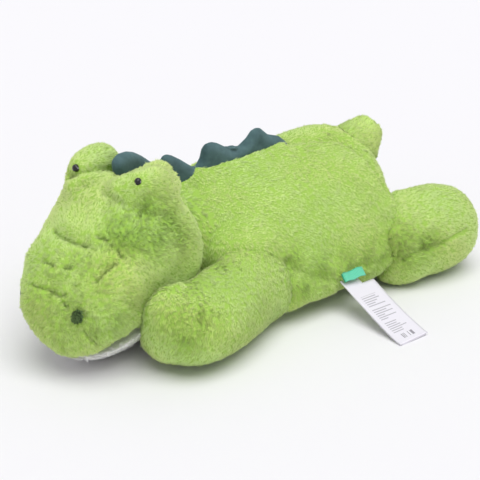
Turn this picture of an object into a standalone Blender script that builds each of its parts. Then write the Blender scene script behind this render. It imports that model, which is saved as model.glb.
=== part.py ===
# Plush crocodile lying on its belly: a stuffed body, head, tail and four limbs in fur fabric,
# velour spikes along the spine, safety eyes with washers, and a care label in the side seam.
# It faces -Y, its left side is +X, and it rests on z = 0 with the origin under its belly.
import math

import bmesh
import bpy
from mathutils import Matrix, Vector
from mathutils.bvhtree import BVHTree

# What touching pieces keep between them, how deep soft pieces are cut where they stand,
# and how far a cutter runs past what it cuts
SEAM_GAP = 0.0003
SIT_DEPTH = 0.0005
OVERRUN = 0.02

# Body
TORSO_LENGTH = 0.368
TORSO_WIDTH = 0.262
TORSO_HEIGHT = 0.222
TORSO_REAR_Y = 0.183

# Neck ball, about whose upright axis the head turns
NECK_Y = -0.170
NECK_RADIUS = 0.086
NECK_TOP_Z = 0.186
NECK_BASE_Z = 0.006
NECK_CLEARANCE = 0.0008

# Head, and the chin panel sewn along its underside
HEAD_LENGTH = 0.232
HEAD_WIDTH = 0.208
HEAD_HEIGHT = 0.228
HEAD_YAW = math.radians(31.0)
HEAD_TURN_BACK = math.radians(46.0)
CHIN_FRONT_Z = 0.030
CHIN_REAR_Z = 0.110

# Eye mounds
MOUND_WIDTH = 0.066
MOUND_LENGTH = 0.092
MOUND_HEIGHT = 0.041
MOUND_SINK = 0.022
MOUND_SPACING = 0.094
MOUND_ALONG = 0.032

# Safety eyes: a bead on a shank, which a washer holds from inside
BEAD_DIAMETER = 0.0105
BEAD_HEIGHT = 0.0050
BEAD_Z = 0.242
BEAD_SPACING = 0.094
BEAD_SINK = 0.0012
SHANK_DIAMETER = 0.0034
SHANK_LENGTH = 0.0125
WASHER_DIAMETER = 0.0135
WASHER_THICKNESS = 0.0018
COVER_THICKNESS = 0.0050

# Nostrils, sewn-on ovals; the soft snout is pushed over to its right by the shift
NOSTRIL_WIDTH = 0.0165
NOSTRIL_HEIGHT = 0.0195
NOSTRIL_THICKNESS = 0.0060
NOSTRIL_SPACING = 0.090
NOSTRIL_SHIFT = 0.014
NOSTRIL_Z = 0.102

# Spikes: the first sits on the head, the others on the back
SPIKE_THICKNESS = 0.024
SPIKE_ROOT_DEPTH = 0.012
HEAD_SPIKE_ALONG = 0.036
HEAD_SPIKE_LENGTH = 0.060
HEAD_SPIKE_HEIGHT = 0.034
BACK_SPIKE_START_Y = -0.184
BACK_SPIKE_LENGTHS = (0.068, 0.059, 0.056, 0.029)
BACK_SPIKE_HEIGHTS = (0.038, 0.037, 0.035, 0.018)
HEAD_SPIKE_LEAN_SHARE = -0.08
BACK_SPIKE_LEAN_SHARES = (-0.06, 0.0, 0.16, -0.10)

# Tail, a blunt cone whose round root sits in a dish in the body
TAIL_ROOT_RADIUS = 0.035
TAIL_ROOT_Z = 0.184
TAIL_SINK = 0.011
TAIL_LENGTH = 0.044
TAIL_TIP_RADIUS = 0.021
TAIL_RISE = math.radians(42.0)
TAIL_CLEARANCE = 0.0008

# Front limbs, placed by the middle of the root
FRONT_LEG_LENGTH = 0.237
FRONT_LEG_WIDTH = 0.144
FRONT_LEG_HEIGHT = 0.118
FRONT_LEG_ROOT_X = 0.104
FRONT_LEG_ROOT_Y = -0.034
FRONT_LEG_HINGE_X = 0.138
FRONT_LEG_HINGE_Y = -0.046
FRONT_LEG_HINGE_Z = 0.060
# Room round the neck, so that the limbs can swing past the cheeks
CHEEK_ROOM_RADIUS = 0.118

# Rear limbs, placed by the middle of the root
REAR_LEG_LENGTH = 0.193
REAR_LEG_WIDTH = 0.126
REAR_LEG_HEIGHT = 0.132
REAR_LEG_SPLAY = math.radians(40.0)
REAR_LEG_ROOT_X = 0.086
REAR_LEG_ROOT_Y = 0.112
REAR_LEG_HINGE_Y = 0.146
REAR_LEG_HINGE_Z = 0.138

# Woven tab and the two leaves of the care label, sewn into the left side seam
TAB_Z = 0.064
TAB_Y = 0.056
TAB_WIDTH = 0.034
TAB_LENGTH = 0.021
TAB_SINK = 0.006
TAB_THICKNESS = 0.0011
TAB_SLOPE = math.radians(76.0)
LABEL_Z = 0.038
LABEL_Y = 0.062
LABEL_WIDTH = 0.046
LABEL_LENGTH = 0.128
LABEL_TURN = math.radians(8.0)
LABEL_THICKNESS = 0.0007
LABEL_END_Z = 0.0004

# Shapes of the soft pieces, one row a station, in shares of the sizes above:
# along the piece, outwards, half width, underside, level where it is widest, top
TORSO_SHARES = (
    (0.00, 0.0, 0.37, 0.24, 0.42, 0.59),
    (0.12, 0.0, 0.64, 0.05, 0.36, 0.80),
    (0.30, 0.0, 0.97, 0.00, 0.30, 0.88),
    (0.56, 0.0, 1.03, 0.00, 0.28, 0.91),
    (0.85, 0.0, 0.98, 0.00, 0.28, 1.02),
    (1.00, 0.0, 0.65, 0.03, 0.28, 0.74),
)
HEAD_SHARES = (
    (0.10, 0.0, 0.86, 0.10, 0.56, 0.86),
    (0.26, 0.0, 1.06, 0.02, 0.56, 1.00),
    (0.46, 0.0, 1.00, 0.00, 0.54, 1.02),
    (0.63, 0.0, 0.93, 0.00, 0.51, 0.93),
    (0.80, 0.0, 0.85, 0.04, 0.45, 0.77),
    (0.94, 0.0, 0.72, 0.12, 0.40, 0.59),
    (1.02, 0.0, 0.37, 0.25, 0.37, 0.47),
)
FRONT_LEG_SHARES = (
    (0.00, 0.00, 0.34, 0.10, 0.46, 0.80),
    (0.24, 0.06, 0.68, 0.00, 0.46, 1.00),
    (0.64, 0.32, 1.02, 0.00, 0.44, 0.98),
    (0.99, 0.42, 0.84, 0.08, 0.40, 0.74),
)
REAR_LEG_SHARES = (
    (0.00, 0.00, 0.58, 0.08, 0.46, 0.82),
    (0.34, 0.04, 0.94, 0.00, 0.46, 1.02),
    (0.72, 0.02, 1.00, 0.00, 0.46, 1.02),
    (0.99, -0.04, 0.58, 0.12, 0.46, 0.78),
)
MOUND_SHARES = (
    (0.00, 0.0, 0.58, 0.00, 0.40, 0.82),
    (0.30, 0.0, 0.96, 0.00, 0.40, 1.03),
    (0.72, 0.0, 0.96, 0.00, 0.40, 1.03),
    (1.00, 0.0, 0.58, 0.00, 0.40, 0.82),
)
# A tail is a straight taper, with stations at these shares of its length
TAIL_SHARES = (0.0, 0.4, 0.75, 1.0)
# A spike, from its root up: height, half length, half thickness, how far its lean has come
SPIKE_SHARES = (
    (0.00, 0.97, 0.95, 0.0),
    (0.30, 0.97, 1.02, 0.0),
    (0.62, 0.82, 0.94, 0.4),
    (0.90, 0.50, 0.78, 0.9),
    (1.04, 0.24, 0.42, 1.0),
)

# How finely the soft and the turned pieces are made
FORM_LEVELS = 2
SMALL_FORM_LEVELS = 1
BODY_SIDES = 8
LIMB_SIDES = 6
SMALL_SIDES = 8
TURNED_STEPS = 14
NECK_STEPS = 26
BEAD_STEPS = 6
FOLD_STEPS = 8
SQUARENESS_SHARE = 0.86
BLUNT_SHARE = 0.72
LYING_SHARE = 0.40
ROUND_SHARE = 1.0
KEEL_SHARE = 1.3

FUR = (0.40, 0.66, 0.16, 1.0)
VELOUR = (0.055, 0.155, 0.145, 1.0)
WHITE_PLUSH = (0.88, 0.87, 0.84, 1.0)
BLACK_PLASTIC = (0.010, 0.010, 0.011, 1.0)
CLEAR_PLASTIC = (0.78, 0.78, 0.76, 1.0)
DARK_FELT = (0.045, 0.085, 0.035, 1.0)
TEAL_RIBBON = (0.08, 0.56, 0.36, 1.0)
WHITE_SATIN = (0.90, 0.90, 0.92, 1.0)

for old in list(bpy.data.objects):
    bpy.data.objects.remove(old)
part = bpy.data.collections.new("plush_crocodile")
cutters = bpy.data.collections.new("cutters")
for collection in (part, cutters):
    bpy.context.scene.collection.children.link(collection)


def new_material(name, colour, roughness):
    """A plain finish; nothing on the toy is metal."""
    made = bpy.data.materials.new(name)
    made.use_nodes = True
    shader = made.node_tree.nodes["Principled BSDF"]
    shader.inputs["Base Color"].default_value = colour
    shader.inputs["Roughness"].default_value = roughness
    shader.inputs["Metallic"].default_value = 0.0
    return made


def new_object(name, mesh, colour=None, roughness=0.95):
    """A sub-part with its own material, or a cutter where no colour is given."""
    obj = bpy.data.objects.new(name, mesh)
    if colour is None:
        cutters.objects.link(obj)
        obj.hide_render = True
        obj.display_type = "WIRE"
    else:
        part.objects.link(obj)
        mesh.materials.clear()
        mesh.materials.append(new_material(f"{name}_finish", colour, roughness))
        mesh.shade_smooth()
    return obj


def mesh_from(shape, name):
    mesh = bpy.data.meshes.new(name)
    shape.to_mesh(mesh)
    shape.free()
    return mesh


def evaluated(obj):
    bpy.context.view_layer.update()
    return obj.evaluated_get(bpy.context.evaluated_depsgraph_get())


def cage(stations, sides, top_share=SQUARENESS_SHARE, base_share=SQUARENESS_SHARE):
    """A closed cage for a soft piece: a ring for each station, bridged, with both ends capped.

    A station is its centre, the direction across it, the direction up it, its half width,
    and its reach up and down. Low shares square the ring's upper and its lower half. The cage
    is fuller than its stations, since subdivision draws it in.
    """
    shape = bmesh.new()
    rings = []
    fill = 3 / (2 + math.cos(math.tau / sides))
    for centre, across, rise, half_width, up, down in stations:
        ring = bmesh.ops.create_circle(shape, segments=sides, radius=1)["verts"]
        for vert in ring:
            share = top_share if vert.co.y > 0 else base_share
            side = math.copysign(abs(vert.co.x) ** share, vert.co.x)
            level = math.copysign(abs(vert.co.y) ** share, vert.co.y)
            reach = up if level > 0 else down
            vert.co = centre + (across * half_width * side + rise * reach * level) * fill
        rings.append({edge for vert in ring for edge in vert.link_edges})
    for first, second in zip(rings, rings[1:]):
        bmesh.ops.bridge_loops(shape, edges=list(first | second))
    for end in (rings[0], rings[-1]):
        bmesh.ops.contextual_create(shape, geom=list(end))
    bmesh.ops.recalc_face_normals(shape, faces=shape.faces)
    return shape


def soft_stations(shares, start, ahead, side, length, width, height):
    """Stations of a soft piece from its table of shares; each ring is square to its own bend."""
    points = [start + ahead * row[0] * length + side * row[1] * width for row in shares]
    stations = []
    for number, (_, _, half, base, level, top) in enumerate(shares):
        before = points[max(number - 1, 0)]
        after = points[min(number + 1, len(points) - 1)]
        across = (after - before).cross(UP).normalized()
        centre = points[number] + UP * level * height
        reaches = (half * width / 2, (top - level) * height, (level - base) * height)
        stations.append((centre, across, UP, *reaches))
    return stations


def add_subdivision(obj, levels):
    smooth = obj.modifiers.new("subdivision", "SUBSURF")
    smooth.levels = levels
    smooth.render_levels = levels


def lower_to(obj, z):
    """Moves a soft piece's mesh up or down until its lowest point is at z."""
    mesh = evaluated(obj).data
    lowest = min((obj.matrix_world @ vert.co).z for vert in mesh.vertices)
    obj.data.transform(Matrix.Translation((0, 0, z - lowest)))


def cut(obj, cutter, operation="DIFFERENCE"):
    modifier = obj.modifiers.new(cutter.name, "BOOLEAN")
    modifier.operation = operation
    modifier.object = cutter
    modifier.solver = "EXACT"


def swollen(obj, name, gap):
    """A cutter: the piece's finished surface, moved out by a gap."""
    mesh = bpy.data.meshes.new_from_object(evaluated(obj))
    places = [vert.co + vert.normal * gap for vert in mesh.vertices]
    for vert, place in zip(mesh.vertices, places):
        vert.co = place
    mesh.materials.clear()
    grown = new_object(name, mesh)
    grown.parent = obj.parent
    grown.matrix_parent_inverse = obj.matrix_parent_inverse
    grown.matrix_basis = obj.matrix_basis
    return grown


def surface_under(obj, start, direction):
    """Where a line from start first meets the piece, and its normal there, in its own axes."""
    bpy.context.view_layer.update()
    tree = BVHTree.FromObject(obj, bpy.context.evaluated_depsgraph_get())
    place, normal, _, _ = tree.ray_cast(start, direction)
    return place, normal


def box(name, low, high):
    """A cutter between two corners."""
    shape = bmesh.new()
    bmesh.ops.create_cube(shape, size=1)
    low, high = Vector(low), Vector(high)
    bmesh.ops.scale(shape, vec=high - low, verts=shape.verts)
    bmesh.ops.translate(shape, vec=(low + high) / 2, verts=shape.verts)
    return new_object(name, mesh_from(shape, name))


def turned(name, profile, steps, colour=None, roughness=0.3, ring=False):
    """A piece turned about its own Z axis from a profile, which a ring's closes on itself."""
    shape = bmesh.new()
    verts = [shape.verts.new((radius, 0, z)) for radius, z in profile]
    if ring:
        verts.append(verts[0])
    for first, second in zip(verts, verts[1:]):
        shape.edges.new((first, second))
    obj = new_object(name, mesh_from(shape, name), colour, roughness)
    screw = obj.modifiers.new("turn", "SCREW")
    screw.steps = steps
    screw.render_steps = steps
    screw.use_merge_vertices = True
    screw.merge_threshold = SEAM_GAP / 10
    return obj


def barrel_profile(radius, low, high, grow, points):
    """The upright neck ball's profile, from its top to its base, grown by a clearance."""
    middle, half = (low + high) / 2, (high - low) / 2 + grow
    turns = [math.pi * step / points for step in range(points + 1)]
    return [((radius + grow) * math.sin(t) ** SQUARENESS_SHARE, middle + half * math.cos(t)) for t in turns]


UP = Vector((0, 0, 1))
LEFT = Vector((1, 0, 0))
BACK = Vector((0, 1, 0))
reach = TORSO_LENGTH + HEAD_LENGTH + REAR_LEG_LENGTH
floor = box("floor_cutter", (-reach, -reach, -OVERRUN), (reach, reach, 0))

# The body: a pillow that rises towards the rear, with the neck ball at its front end
front = Vector((0, TORSO_REAR_Y - TORSO_LENGTH, 0))
stations = soft_stations(TORSO_SHARES, front, BACK, LEFT, TORSO_LENGTH, TORSO_WIDTH, TORSO_HEIGHT)
torso = new_object("torso", mesh_from(cage(stations, BODY_SIDES, ROUND_SHARE, LYING_SHARE), "torso"), FUR)
add_subdivision(torso, FORM_LEVELS)
lower_to(torso, -SIT_DEPTH)
torso_swollen = swollen(torso, "torso_swollen", SEAM_GAP)
neck_sizes = (("neck_ball", 0), ("neck_ball_swollen", SEAM_GAP), ("neck_socket", NECK_CLEARANCE))
necks = []
for name, grow in neck_sizes:
    profile = barrel_profile(NECK_RADIUS, NECK_BASE_Z, NECK_TOP_Z, grow, TURNED_STEPS // 2)
    neck = turned(name, profile, NECK_STEPS)
    neck.location = (0, NECK_Y, 0)
    necks.append(neck)
neck_ball, neck_ball_swollen, neck_socket = necks
cut(torso, neck_ball, "UNION")
cut(torso, floor)
cut(torso_swollen, neck_ball_swollen, "UNION")

# The head turns on this empty; its pieces are made straight ahead of it, then turn with it
head_pivot = bpy.data.objects.new("head_pivot", None)
part.objects.link(head_pivot)
head_pivot.location = (0, NECK_Y, 0)
head_pivot.rotation_euler = (0, 0, HEAD_YAW)

# The head, a broad wedge, cupped round the neck ball
stations = soft_stations(HEAD_SHARES, Vector(), -BACK, LEFT, HEAD_LENGTH, HEAD_WIDTH, HEAD_HEIGHT)
head = new_object("head", mesh_from(cage(stations, BODY_SIDES, BLUNT_SHARE, KEEL_SHARE), "head"), FUR)
head.parent = head_pivot
add_subdivision(head, FORM_LEVELS)
lower_to(head, -SIT_DEPTH)
head_form = swollen(head, "head_form", 0)
head_swollen = swollen(head, "head_swollen", SEAM_GAP)
cut(head, neck_socket)

# The chin panel is the head's underside, below a seam that rises towards the neck
slope = (CHIN_REAR_Z - CHIN_FRONT_Z) / HEAD_LENGTH
chin_split = box("chin_split", (-HEAD_WIDTH, -HEAD_LENGTH - OVERRUN, -HEAD_HEIGHT), (HEAD_WIDTH, OVERRUN, 0))
for vert in chin_split.data.vertices:
    if vert.co.z > -OVERRUN:
        vert.co.z = CHIN_REAR_Z + slope * vert.co.y
chin_split.parent = head_pivot
chin_keep = new_object("chin_keep", chin_split.data.copy())
chin_keep.data.transform(Matrix.Translation((0, 0, -SEAM_GAP)))
chin_keep.parent = head_pivot
cut(head, chin_split)
chin = new_object("chin_panel", head_form.data.copy(), WHITE_PLUSH)
chin.parent = head_pivot
cut(chin, chin_keep, "INTERSECT")
cut(chin, neck_socket)
cut(chin, floor)

# Eye mounds: two short stuffed pads sewn on top of the head, each holding a safety eye.
# The eye's socket goes through the cover and opens into a pocket for the washer.
shank = SHANK_DIAMETER / 2
bead_turns = [math.pi / 2 * step / BEAD_STEPS for step in range(BEAD_STEPS + 1)]
bead_profile = [(BEAD_DIAMETER / 2 * math.sin(t), BEAD_HEIGHT * math.cos(t)) for t in bead_turns]
bead_profile += [(shank, 0), (shank, -SHANK_LENGTH), (0, -SHANK_LENGTH)]
pocket_top = -COVER_THICKNESS
pocket_base = pocket_top - WASHER_THICKNESS - 2 * SEAM_GAP
socket_profile = [
    (0, OVERRUN),
    (BEAD_DIAMETER / 2 + SEAM_GAP, OVERRUN),
    (BEAD_DIAMETER / 2 + SEAM_GAP, -SEAM_GAP),
    (shank + SEAM_GAP, -SEAM_GAP),
    (shank + SEAM_GAP, pocket_top),
    (WASHER_DIAMETER / 2 + SEAM_GAP, pocket_top),
    (WASHER_DIAMETER / 2 + SEAM_GAP, pocket_base),
    (shank + SEAM_GAP, pocket_base),
    (shank + SEAM_GAP, -SHANK_LENGTH - SEAM_GAP),
    (0, -SHANK_LENGTH - SEAM_GAP),
]
washer_top = pocket_top - SEAM_GAP
washer_profile = [
    (shank + SEAM_GAP, washer_top),
    (WASHER_DIAMETER / 2, washer_top),
    (WASHER_DIAMETER / 2, washer_top - WASHER_THICKNESS),
    (shank + SEAM_GAP, washer_top - WASHER_THICKNESS),
]
for side_name, side in (("left", 1), ("right", -1)):
    x = side * MOUND_SPACING / 2
    high = Vector((x, -MOUND_ALONG - MOUND_LENGTH / 2, 2 * HEAD_HEIGHT))
    top, _ = surface_under(head_form, high, -UP)
    root = Vector((x, -MOUND_ALONG, top.z - MOUND_SINK))
    height = MOUND_SINK + MOUND_HEIGHT
    stations = soft_stations(MOUND_SHARES, root, -BACK, LEFT, MOUND_LENGTH, MOUND_WIDTH, height)
    name = f"eye_mound_{side_name}"
    mound = new_object(name, mesh_from(cage(stations, SMALL_SIDES), name), FUR)
    mound.parent = head_pivot
    add_subdivision(mound, SMALL_FORM_LEVELS)
    ahead = Vector((side * BEAD_SPACING / 2, -2 * HEAD_LENGTH, BEAD_Z))
    place, normal = surface_under(mound, ahead, BACK)
    turn = normal.to_track_quat("Z", "Y")
    cut(mound, head_swollen)
    socket = turned(f"eye_socket_{side_name}", socket_profile, TURNED_STEPS)
    cut(mound, socket)
    bead = turned(f"eye_bead_{side_name}", bead_profile, TURNED_STEPS, BLACK_PLASTIC, 0.08)
    washer = turned(f"eye_washer_{side_name}", washer_profile, TURNED_STEPS, CLEAR_PLASTIC, 0.4, True)
    for piece in (socket, bead, washer):
        piece.parent = head_pivot
        piece.location = place - normal * BEAD_SINK
        piece.rotation_mode = "QUATERNION"
        piece.rotation_quaternion = turn

# Nostrils: padded ovals let into the front of the head
for side_name, side in (("left", 1), ("right", -1)):
    ahead = Vector((side * NOSTRIL_SPACING / 2 - NOSTRIL_SHIFT, -2 * HEAD_LENGTH, NOSTRIL_Z))
    place, normal = surface_under(head_form, ahead, BACK)
    across = UP.cross(normal).normalized()
    lie = Matrix((across, normal.cross(across), normal)).transposed()
    shape = bmesh.new()
    bmesh.ops.create_uvsphere(shape, u_segments=TURNED_STEPS, v_segments=TURNED_STEPS // 2, radius=1)
    size = Vector((NOSTRIL_WIDTH, NOSTRIL_HEIGHT, NOSTRIL_THICKNESS)) / 2
    bmesh.ops.scale(shape, vec=size, verts=shape.verts)
    bmesh.ops.transform(shape, matrix=Matrix.Translation(place) @ lie.to_4x4(), verts=shape.verts)
    name = f"nostril_{side_name}"
    nostril = new_object(name, mesh_from(shape, name), DARK_FELT)
    nostril.parent = head_pivot
    cut(head, swollen(nostril, f"{name}_seat", SEAM_GAP))


def spike(name, carrier, carrier_swollen, front_y, length, height, lean):
    """A stuffed triangle that stands on the spine, its root shaped to the surface below."""
    middle = front_y + length / 2
    top, _ = surface_under(carrier, Vector((0, middle, 2 * HEAD_HEIGHT)), -UP)
    rise = height + SPIKE_ROOT_DEPTH
    stations = []
    for share, long_share, thick_share, lean_share in SPIKE_SHARES:
        centre = Vector((0, middle + lean_share * lean * length, top.z - SPIKE_ROOT_DEPTH + share * rise))
        half_length = long_share * (length - SEAM_GAP) / 2
        half_thickness = thick_share * SPIKE_THICKNESS / 2
        stations.append((centre, BACK, LEFT, half_length, half_thickness, half_thickness))
    made = new_object(name, mesh_from(cage(stations, SMALL_SIDES), name), VELOUR)
    add_subdivision(made, SMALL_FORM_LEVELS)
    made.parent = carrier_swollen.parent
    cut(made, carrier_swollen)
    return made


front_y = -HEAD_SPIKE_ALONG - HEAD_SPIKE_LENGTH
spike("spike_1", head_form, head_swollen, front_y, HEAD_SPIKE_LENGTH, HEAD_SPIKE_HEIGHT, HEAD_SPIKE_LEAN_SHARE)
front_y = BACK_SPIKE_START_Y
rows = zip(BACK_SPIKE_LENGTHS, BACK_SPIKE_HEIGHTS, BACK_SPIKE_LEAN_SHARES)
for number, (length, height, lean) in enumerate(rows, 2):
    spike(f"spike_{number}", torso_swollen, torso_swollen, front_y, length, height, lean)
    front_y += length

# The tail turns from side to side on its round root, in a dish in the body's rear
rear, _ = surface_under(torso_swollen, Vector((0, reach, TAIL_ROOT_Z)), -BACK)
tail_root = Vector((0, rear.y - TAIL_SINK, TAIL_ROOT_Z))
tail_out = Vector((0, math.cos(TAIL_RISE), math.sin(TAIL_RISE)))
tail_up = LEFT.cross(tail_out) * -1
stations = []
for share in TAIL_SHARES:
    radius = TAIL_ROOT_RADIUS + (TAIL_TIP_RADIUS - TAIL_ROOT_RADIUS) * share
    stations.append((tail_out * TAIL_LENGTH * share, LEFT, tail_up, radius, radius, radius))
tail = new_object("tail", mesh_from(cage(stations, SMALL_SIDES), "tail"), FUR)
tail.location = tail_root
add_subdivision(tail, SMALL_FORM_LEVELS)


def ball(name, radius, centre):
    shape = bmesh.new()
    bmesh.ops.create_uvsphere(shape, u_segments=NECK_STEPS, v_segments=NECK_STEPS // 2, radius=radius)
    made = new_object(name, mesh_from(shape, name))
    made.location = centre
    return made


cut(tail, ball("tail_ball", TAIL_ROOT_RADIUS, tail_root), "UNION")
cut(torso, ball("tail_dish", TAIL_ROOT_RADIUS + TAIL_CLEARANCE, tail_root))


def limb(name, side, shares, root, sizes, splay, hinge, neighbours):
    """A limb on one side of the body, cut by what it is sewn to or lies against."""
    length, width, height, ahead = sizes
    turn = Matrix.Rotation(splay * ahead * -side, 3, "Z")
    root = Vector((root.x * side, root.y, 0))
    hinge = Vector((hinge.x * side, hinge.y, hinge.z))
    stations = soft_stations(shares, root, turn @ BACK * ahead, turn @ LEFT * side, length, width, height)
    made = new_object(name, mesh_from(cage(stations, LIMB_SIDES, SQUARENESS_SHARE, BLUNT_SHARE), name), FUR)
    add_subdivision(made, FORM_LEVELS)
    lower_to(made, -SIT_DEPTH)
    made.data.transform(Matrix.Translation(-hinge))
    made.location = hinge
    for neighbour in neighbours:
        cut(made, neighbour)
    cut(made, floor)


# The front limbs lie forward beside the head, the right one where the head comes when it turns back
head_turned = new_object("head_turned", head_swollen.data.copy())
turn = Matrix.Rotation(-HEAD_TURN_BACK, 4, "Z")
neck_place = Matrix.Translation(head_pivot.location)
head_turned.data.transform(neck_place @ turn @ neck_place.inverted() @ head_swollen.matrix_world)
high, low = 2 * FRONT_LEG_HEIGHT, -OVERRUN
profile = [(0, high), (CHEEK_ROOM_RADIUS, high), (CHEEK_ROOM_RADIUS, low), (0, low)]
cheek_room = turned("cheek_room", profile, NECK_STEPS)
cheek_room.location = (0, NECK_Y, 0)
sizes = (FRONT_LEG_LENGTH, FRONT_LEG_WIDTH, FRONT_LEG_HEIGHT, -1)
root = Vector((FRONT_LEG_ROOT_X, FRONT_LEG_ROOT_Y, 0))
hinge = Vector((FRONT_LEG_HINGE_X, FRONT_LEG_HINGE_Y, FRONT_LEG_HINGE_Z))
limb("front_leg_left", 1, FRONT_LEG_SHARES, root, sizes, 0, hinge, (torso_swollen, head_swollen, cheek_room))
limb("front_leg_right", -1, FRONT_LEG_SHARES, root, sizes, 0, hinge, (torso_swollen, head_turned, cheek_room))

# The rear limbs stretch back, the right one splayed out
sizes = (REAR_LEG_LENGTH, REAR_LEG_WIDTH, REAR_LEG_HEIGHT, 1)
root = Vector((REAR_LEG_ROOT_X, REAR_LEG_ROOT_Y, 0))
hinge = Vector((REAR_LEG_ROOT_X, REAR_LEG_HINGE_Y, REAR_LEG_HINGE_Z))
limb("rear_leg_left", 1, REAR_LEG_SHARES, root, sizes, 0, hinge, (torso_swollen,))
limb("rear_leg_right", -1, REAR_LEG_SHARES, root, sizes, REAR_LEG_SPLAY, hinge, (torso_swollen,))

# The woven tab: a ribbon folded back on itself, its two ends sewn into the side seam
seam, _ = surface_under(torso_swollen, Vector((reach, TAB_Y, TAB_Z)), -LEFT)
out = Vector((math.cos(TAB_SLOPE), 0, -math.sin(TAB_SLOPE)))
over = Vector((math.sin(TAB_SLOPE), 0, math.cos(TAB_SLOPE)))
fold = TAB_THICKNESS
path = [seam - LEFT * TAB_SINK + UP * fold, seam + over * fold]
for step in range(FOLD_STEPS + 1):
    turn = math.pi * step / FOLD_STEPS
    bend = out * fold * math.sin(turn) + over * fold * math.cos(turn)
    path.append(seam + out * (TAB_LENGTH - fold) + bend)
path.append(seam - over * fold)
path.append(seam - LEFT * TAB_SINK - UP * fold)
shape = bmesh.new()
low_verts = [shape.verts.new(place - BACK * TAB_WIDTH / 2) for place in path]
high_verts = [shape.verts.new(place + BACK * TAB_WIDTH / 2) for place in path]
for number in range(len(path) - 1):
    shape.faces.new((low_verts[number], low_verts[number + 1], high_verts[number + 1], high_verts[number]))
tab = new_object("woven_tab", mesh_from(shape, "woven_tab"), TEAL_RIBBON)
solid = tab.modifiers.new("ribbon", "SOLIDIFY")
solid.thickness = TAB_THICKNESS
solid.offset = 0
cut(tab, torso_swollen)
tab.modifiers[torso_swollen.name].use_self = True

# The care label: two leaves that slope from the side seam down to the floor
seam, _ = surface_under(torso_swollen, Vector((reach, LABEL_Y, LABEL_Z)), -LEFT)
pitch = LABEL_THICKNESS + SEAM_GAP
drop = math.asin((seam.z - LABEL_END_Z - LABEL_THICKNESS) / LABEL_LENGTH)
for number, name in enumerate(("care_label_front", "care_label_back")):
    shape = bmesh.new()
    bmesh.ops.create_cube(shape, size=1)
    leaf = Vector((LABEL_LENGTH, LABEL_WIDTH, LABEL_THICKNESS))
    bmesh.ops.scale(shape, vec=leaf, verts=shape.verts)
    bmesh.ops.translate(shape, vec=(LABEL_LENGTH / 2, 0, -number * pitch), verts=shape.verts)
    lie = Matrix.Rotation(LABEL_TURN, 4, "Z") @ Matrix.Rotation(drop, 4, "Y")
    bmesh.ops.transform(shape, matrix=lie, verts=shape.verts)
    label = new_object(name, mesh_from(shape, name), WHITE_SATIN, 0.5)
    label.location = seam
    cut(label, torso_swollen)
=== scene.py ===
import math

import bmesh
import bpy
import numpy as np
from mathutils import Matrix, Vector
from mathutils.bvhtree import BVHTree


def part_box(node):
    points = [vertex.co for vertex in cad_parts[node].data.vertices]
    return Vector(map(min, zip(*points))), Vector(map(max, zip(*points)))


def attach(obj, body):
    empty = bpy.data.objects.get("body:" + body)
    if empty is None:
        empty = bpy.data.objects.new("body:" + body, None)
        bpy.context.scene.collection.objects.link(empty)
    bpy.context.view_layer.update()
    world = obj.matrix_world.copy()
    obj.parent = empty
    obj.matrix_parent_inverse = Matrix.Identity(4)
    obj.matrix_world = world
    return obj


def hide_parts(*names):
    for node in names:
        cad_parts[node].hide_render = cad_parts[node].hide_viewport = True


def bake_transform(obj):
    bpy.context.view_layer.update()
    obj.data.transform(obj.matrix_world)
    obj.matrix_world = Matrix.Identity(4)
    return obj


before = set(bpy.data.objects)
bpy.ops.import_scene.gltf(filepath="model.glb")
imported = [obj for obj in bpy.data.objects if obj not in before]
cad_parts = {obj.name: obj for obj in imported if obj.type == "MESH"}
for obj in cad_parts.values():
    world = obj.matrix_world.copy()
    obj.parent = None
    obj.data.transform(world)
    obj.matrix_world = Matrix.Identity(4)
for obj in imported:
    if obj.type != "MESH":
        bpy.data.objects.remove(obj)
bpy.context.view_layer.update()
bpy.ops.object.select_all(action="DESELECT")

# The camera stands where the photographer stood, to the toy's left and ahead of it, looking down at it.
# Its lens is a short telephoto, so the far limbs are hardly smaller than the near ones.
PICTURE_SIDE = 480
LENS_PIXELS = 1366.9
SENSOR_WIDTH = 36.0
CAMERA_AIM = Vector((0.03, -0.06, 0.09))
CAMERA_FROM = Vector((1.52128, -0.92099, 0.89297))
camera_data = bpy.data.cameras.new("camera")
camera_data.sensor_width = SENSOR_WIDTH
camera_data.lens = LENS_PIXELS * SENSOR_WIDTH / PICTURE_SIDE
camera_data.clip_end = 100
camera = bpy.data.objects.new("camera", camera_data)
camera.location = CAMERA_FROM
camera.rotation_euler = (CAMERA_FROM - CAMERA_AIM).to_track_quat("Z", "Y").to_euler()
bpy.context.scene.collection.objects.link(camera)
bpy.context.scene.camera = camera
bpy.context.scene.view_settings.view_transform = "Standard"


def sight(across, down):
    """The direction from the camera through one place of the photograph's frame."""
    turn = (CAMERA_FROM - CAMERA_AIM).to_track_quat("Z", "Y")
    half = PICTURE_SIDE / 2
    return (turn @ Vector((across - half, half - down, -LENS_PIXELS))).normalized()


# The studio is a pale seamless table under one broad soft lamp, above and behind the toy on its left,
# with white walls that fill the shadows.
def linear(code):
    """A colour written as sRGB hex, as the numbers that a shader reads."""
    parts = [int(code[place:place + 2], 16) / 255 for place in (1, 3, 5)]
    return tuple(((p + 0.055) / 1.055) ** 2.4 if p > 0.04045 else p / 12.92 for p in parts) + (1.0,)


def add_node(tree, kind, settings=(), **links):
    """Adds a node, sets its properties and sockets, and joins the sockets that are given as outputs."""
    node = tree.nodes.new(kind)
    for key, value in dict(settings).items():
        setattr(node, key, value)
    for key, value in links.items():
        numbered = key[0] == "i" and key[1:].isdigit()
        socket = node.inputs[int(key[1:]) if numbered else key.replace("_", " ")]
        if isinstance(value, bpy.types.NodeSocket):
            tree.links.new(value, socket)
        else:
            socket.default_value = value
    return node


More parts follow.
